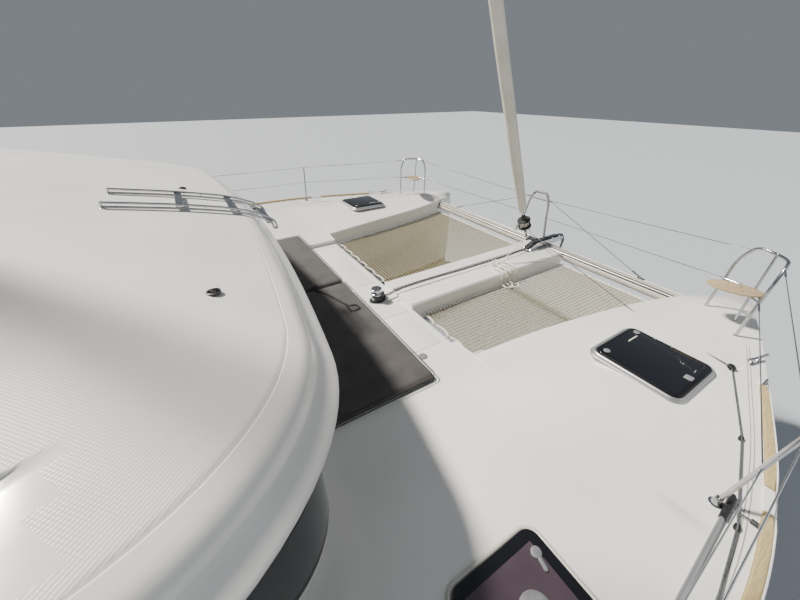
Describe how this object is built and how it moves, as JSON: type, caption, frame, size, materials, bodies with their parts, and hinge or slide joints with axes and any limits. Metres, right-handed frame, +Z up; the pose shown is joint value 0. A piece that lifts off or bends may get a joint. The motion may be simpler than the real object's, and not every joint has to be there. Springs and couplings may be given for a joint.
{
  "type": "sailing catamaran",
  "caption": "Cruising sailing catamaran afloat: twin decked hulls, bridge deck cabin, netted foredeck, mast with furled genoa and bagged mainsail, rudders and drives.",
  "frame": {"origin": "amidships on the centreline, at the height of the waterline", "axes": "+X forward, +Y to port, +Z up"},
  "size_m": [12.8, 7.75, 21.79],
  "materials": {
    "gelcoat": "moulded white gelcoat",
    "smoked_glass": "smoked glass and acrylic",
    "cushion_fabric": "taupe woven marine fabric",
    "canvas": "dark acrylic canvas",
    "sailcloth": "off-white sailcloth",
    "netting": "beige net cord",
    "stainless": "polished stainless steel",
    "anodised_spar": "clear anodised aluminium",
    "galvanised": "galvanised steel",
    "bronze": "cast bronze",
    "antifouling": "dark antifouling paint",
    "teak": "weathered teak",
    "seat_tan": "tan composite board"
  },
  "bodies": {
    "boat": {"hull_port": "gelcoat", "hull_starboard": "gelcoat", "bridge_deck": "gelcoat", "roof": "gelcoat", "cabin_wall": "gelcoat", "front_window_port": "smoked_glass", "front_window_starboard": "smoked_glass", "corner_window_port": "smoked_glass", "corner_window_starboard": "smoked_glass", "side_window_port": "smoked_glass", "side_window_starboard": "smoked_glass", "aft_bulkhead": "gelcoat", "galley_window": "smoked_glass", "saloon_settee": "cushion_fabric", "galley_counter": "gelcoat", "cockpit_bench": "gelcoat", "cockpit_table": "gelcoat", "roof_post_port": "gelcoat", "roof_post_starboard": "gelcoat", "sun_cushion": "cushion_fabric", "roof_ladder": "stainless", "helm_console": "gelcoat", "flybridge_seat": "gelcoat", "mast": "anodised_spar", "shroud_port": "stainless", "shroud_starboard": "stainless", "crossbeam": "anodised_spar", "longeron": "gelcoat", "net_port": "netting", "net_starboard": "netting", "furler_drum": "galvanised", "furled_genoa": "sailcloth", "striker": "stainless", "windlass": "stainless", "bow_roller": "stainless", "anchor": "galvanised", "pulpit_port": "stainless", "pulpit_starboard": "stainless", "pulpit_seat_port": "seat_tan", "pulpit_seat_starboard": "seat_tan", "toe_rail_port": "teak", "toe_rail_starboard": "teak", "guard_rail_port": "stainless", "guard_rail_starboard": "stainless", "drive_leg_port": "antifouling", "drive_leg_starboard": "antifouling"},
    "boom_and_bag": {"boom": "anodised_spar", "sail_bag": "canvas"},
    "wheel": {"helm_wheel": "stainless"},
    "port_rudder": {"rudder_port": "antifouling"},
    "starboard_rudder": {"rudder_starboard": "antifouling"},
    "port_propeller": {"propeller_port": "bronze"},
    "starboard_propeller": {"propeller_starboard": "bronze"},
    "sliding_door": {"saloon_door": "smoked_glass"},
    "port_fore_lid": {"fore_hatch_port": "smoked_glass"},
    "starboard_fore_lid": {"fore_hatch_starboard": "smoked_glass"},
    "port_cabin_lid": {"cabin_hatch_port": "smoked_glass"},
    "starboard_cabin_lid": {"cabin_hatch_starboard": "smoked_glass"},
    "port_locker_lid": {"locker_lid_port": "gelcoat"},
    "starboard_locker_lid": {"locker_lid_starboard": "gelcoat"}
  },
  "joints": [
    {"name": "boom_swing", "type": "hinge", "parent": "boat", "child": "boom_and_bag", "pos_m": [-1.18, 0, 5.5], "axis": [0, 0, 1], "range_deg": [-68, 68]},
    {"name": "starboard_rudder_turn", "type": "hinge", "parent": "boat", "child": "starboard_rudder", "pos_m": [-5.55, -2.885, -0.6], "axis": [0, 0, 1], "range_deg": [-35, 35]},
    {"name": "port_rudder_turn", "type": "hinge", "parent": "boat", "child": "port_rudder", "pos_m": [-5.55, 2.885, -0.6], "axis": [0, 0, 1], "range_deg": [-35, 35]},
    {"name": "wheel_turn", "type": "hinge", "parent": "boat", "child": "wheel", "pos_m": [-2.25, 0.8, 4.15], "axis": [1, 0, 0], "range_deg": [-350, 350]},
    {"name": "port_propeller_spin", "type": "hinge", "parent": "boat", "child": "port_propeller", "pos_m": [-4.76, 2.89, -0.58], "axis": [1, 0, 0], "continuous": true},
    {"name": "starboard_propeller_spin", "type": "hinge", "parent": "boat", "child": "starboard_propeller", "pos_m": [-4.76, -2.89, -0.58], "axis": [1, 0, 0], "continuous": true},
    {"name": "door_slide", "type": "slide", "parent": "boat", "child": "sliding_door", "axis": [0, -1, 0], "range_m": [0, 1]},
    {"name": "port_fore_lid_hinge", "type": "hinge", "parent": "boat", "child": "port_fore_lid", "pos_m": [4.428, 2.77, 1.89515], "axis": [0, 1, 0], "range_deg": [0, 100]},
    {"name": "starboard_fore_lid_hinge", "type": "hinge", "parent": "boat", "child": "starboard_fore_lid", "pos_m": [4.428, -2.77, 1.89515], "axis": [0, 1, 0], "range_deg": [0, 100]},
    {"name": "port_cabin_lid_hinge", "type": "hinge", "parent": "boat", "child": "port_cabin_lid", "pos_m": [2.198, 3.33, 1.89515], "axis": [0, 1, 0], "range_deg": [0, 100]},
    {"name": "starboard_cabin_lid_hinge", "type": "hinge", "parent": "boat", "child": "starboard_cabin_lid", "pos_m": [2.198, -3.33, 1.89515], "axis": [0, 1, 0], "range_deg": [0, 100]},
    {"name": "port_locker_hinge", "type": "hinge", "parent": "boat", "child": "port_locker_lid", "pos_m": [2.551, 0.72, 1.664], "axis": [0, -1, 0], "range_deg": [0, 80]},
    {"name": "starboard_locker_hinge", "type": "hinge", "parent": "boat", "child": "starboard_locker_lid", "pos_m": [2.551, -1.1, 1.664], "axis": [0, -1, 0], "range_deg": [0, 80]}
  ],
  "couplings": [
    {"joint": "port_rudder_turn", "follows": "starboard_rudder_turn", "ratio": 1},
    {"joint": "wheel_turn", "follows": "starboard_rudder_turn", "ratio": 10}
  ]
}
